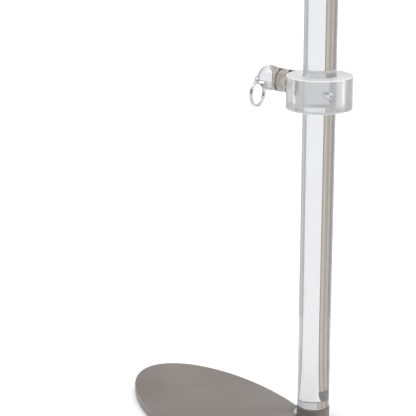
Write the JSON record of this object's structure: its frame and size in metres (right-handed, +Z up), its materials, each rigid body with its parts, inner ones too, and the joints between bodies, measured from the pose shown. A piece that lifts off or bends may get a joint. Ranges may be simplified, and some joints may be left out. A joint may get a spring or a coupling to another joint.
{
  "type": "saxophone display stand",
  "caption": "Saxophone display stand: weighted oval steel base, clear acrylic post, sliding collar with grub-screw clamp, and a clear arm with a hanging split ring.",
  "frame": {"origin": "middle of the stand's outline seen from above, on the surface that it stands on", "axes": "+Z up along the post; +X from the far side of the oval towards the post; +Y towards the end of the base that the arm points to"},
  "size_m": [0.2362, 0.2826, 0.5461],
  "materials": {
    "painted_steel": "satin dark taupe powder coat",
    "rubber": "matt",
    "zinc_steel": "bright zinc",
    "clear_acrylic": "polished and clear",
    "frosted_acrylic": "turned and satin, milky",
    "insert_steel": "machined",
    "nylon": "natural",
    "nickel": "bright nickel plate"
  },
  "bodies": {
    "base": {"base_plate": "painted_steel", "base_pad_1": "rubber", "base_pad_2": "rubber", "base_pad_3": "rubber", "base_pad_4": "rubber", "base_pad_5": "rubber", "base_pad_6": "rubber", "post_bolt": "zinc_steel"},
    "post": {"post_foot": "painted_steel", "post": "clear_acrylic"},
    "carriage": {"collar": "frosted_acrylic", "collar_insert": "insert_steel", "arm": "clear_acrylic", "arm_eye": "nickel"},
    "clamp_pad": {"clamp_pad": "nylon"},
    "clamp_screw": {"clamp_screw": "zinc_steel"},
    "link_ring": {"link_ring": "nickel"}
  },
  "joints": [
    {"name": "post_turn", "type": "hinge", "parent": "base", "child": "post", "pos_m": [0.08309, -0.0042, 0.0123], "axis": [0, 0, 1], "continuous": true},
    {"name": "collar_slide", "type": "slide", "parent": "post", "child": "carriage", "axis": [0, 0, 1], "range_m": [-0.3, 0.15]},
    {"name": "clamp_pad_travel", "type": "slide", "parent": "carriage", "child": "clamp_pad", "axis": [0.2924, -0.9563, 0], "range_m": [0, 0.002]},
    {"name": "clamp_screw_turn", "type": "hinge", "parent": "clamp_pad", "child": "clamp_screw", "pos_m": [0.08309, -0.0042, 0.3753], "axis": [0.2924, -0.9563, 0], "range_deg": [0, 720]},
    {"name": "ring_swing", "type": "hinge", "parent": "carriage", "child": "link_ring", "pos_m": [0.02058, 0.05831, 0.3736], "axis": [0.5299, 0.848, 0], "range_deg": [-50, 120]}
  ],
  "couplings": [
    {"joint": "clamp_screw_turn", "follows": "clamp_pad_travel", "rad_per_m": 6283.2}
  ]
}
